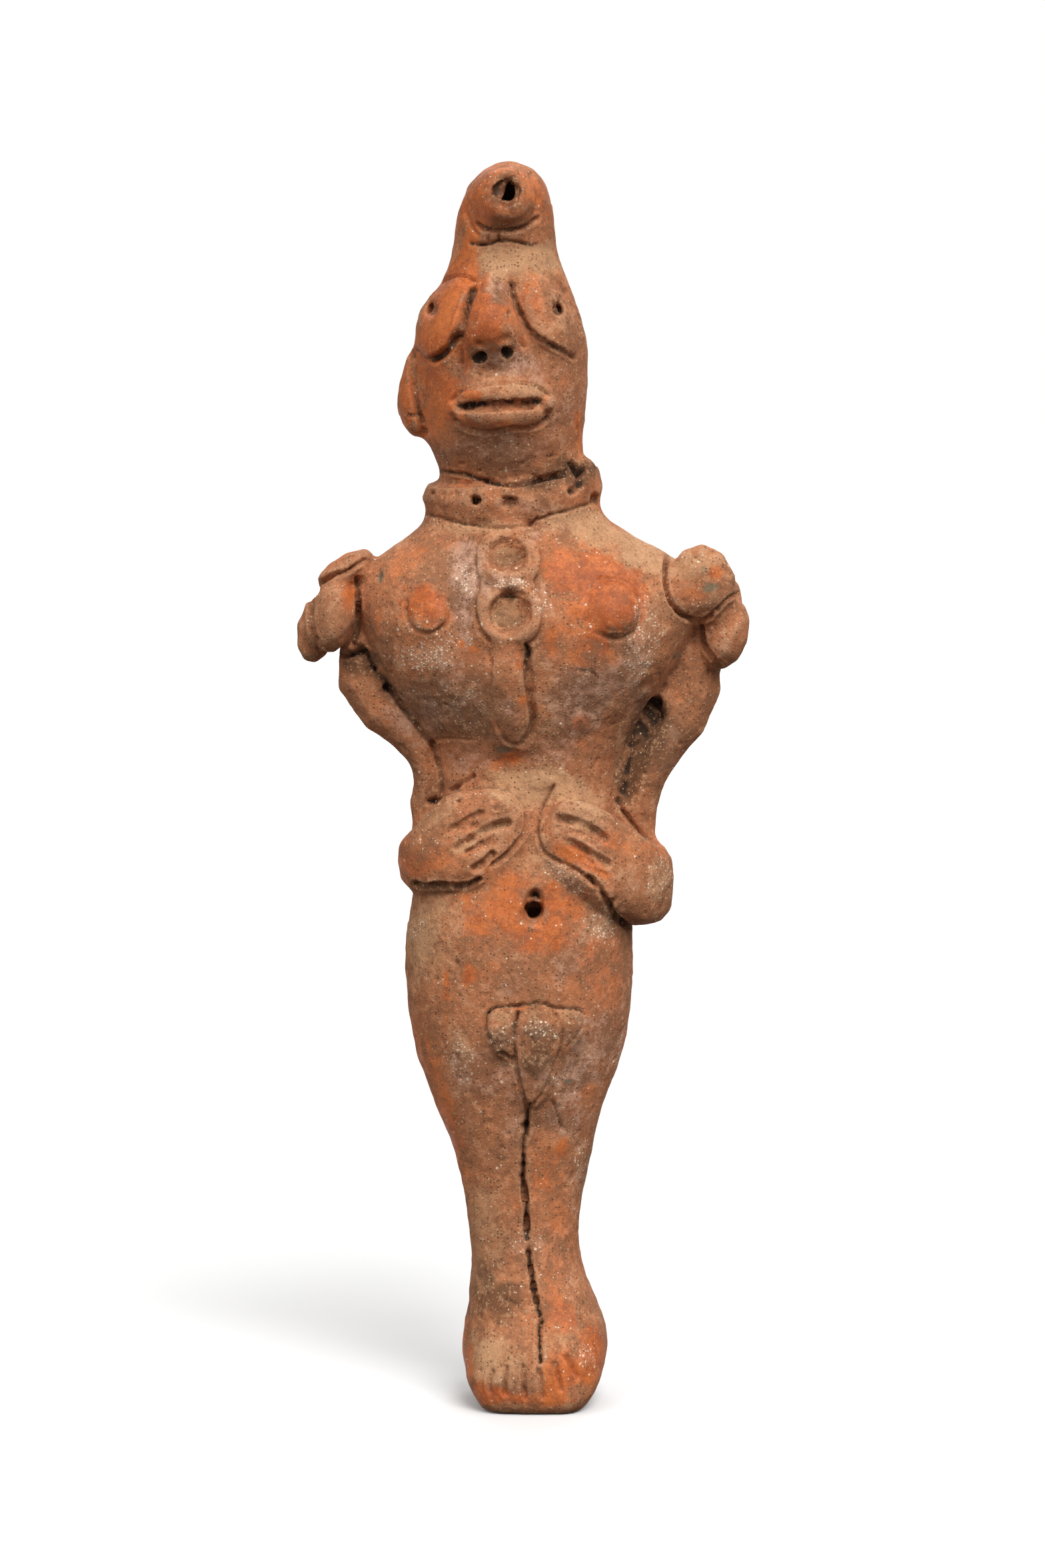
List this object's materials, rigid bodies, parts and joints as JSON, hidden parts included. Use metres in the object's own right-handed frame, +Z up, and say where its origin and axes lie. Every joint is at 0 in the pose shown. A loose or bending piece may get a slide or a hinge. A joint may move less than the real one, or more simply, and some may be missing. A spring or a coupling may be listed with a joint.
{
  "type": "terracotta idol figurine",
  "caption": "Small hand-modelled standing figurine of solid fired clay, with hands on the belly and pressed-on eyes, lips, necklace and shoulder bosses, for display on a shelf",
  "frame": {"origin": "the middle of the flat underside of the feet", "axes": "+Z up along the figure, the figure faces -Y, and +X is to the right of a viewer who looks at its face"},
  "size_m": [0.0731, 0.0334, 0.2],
  "materials": {
    "terracotta": "unglazed low-fired terracotta, orange where it was burnished, buff and brown with dust and soil elsewhere"
  },
  "bodies": {
    "root": {"idol_figure": "terracotta"}
  },
  "joints": []
}
